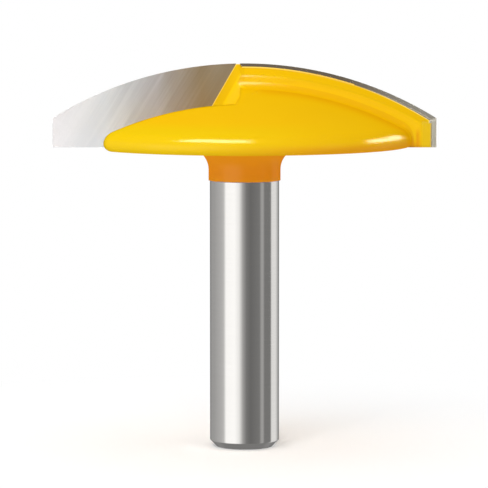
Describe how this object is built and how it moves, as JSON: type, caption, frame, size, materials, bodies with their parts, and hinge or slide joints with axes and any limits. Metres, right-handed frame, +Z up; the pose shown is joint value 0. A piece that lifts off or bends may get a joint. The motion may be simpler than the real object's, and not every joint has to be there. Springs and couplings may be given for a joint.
{
  "type": "bowl router bit",
  "caption": "Plunging bowl router bit: a painted steel head with brazed carbide inserts that cut a shallow dished floor, on a plain round shank with a chamfered end.",
  "frame": {"origin": "centre of the shank's flat end face, which is the lowest face", "axes": "+Z runs up the axis of rotation to the cutting tip; the two wings lie along X, the front insert at -X with its rake face towards -Y"},
  "size_m": [0.0702, 0.0624, 0.0705],
  "materials": {
    "body": "gloss yellow paint on the head and neck, bare ground steel on the shank",
    "carbide": "ground tungsten carbide"
  },
  "bodies": {
    "root": {"body": "body", "front_insert": "carbide", "rear_insert": "carbide"}
  },
  "joints": []
}
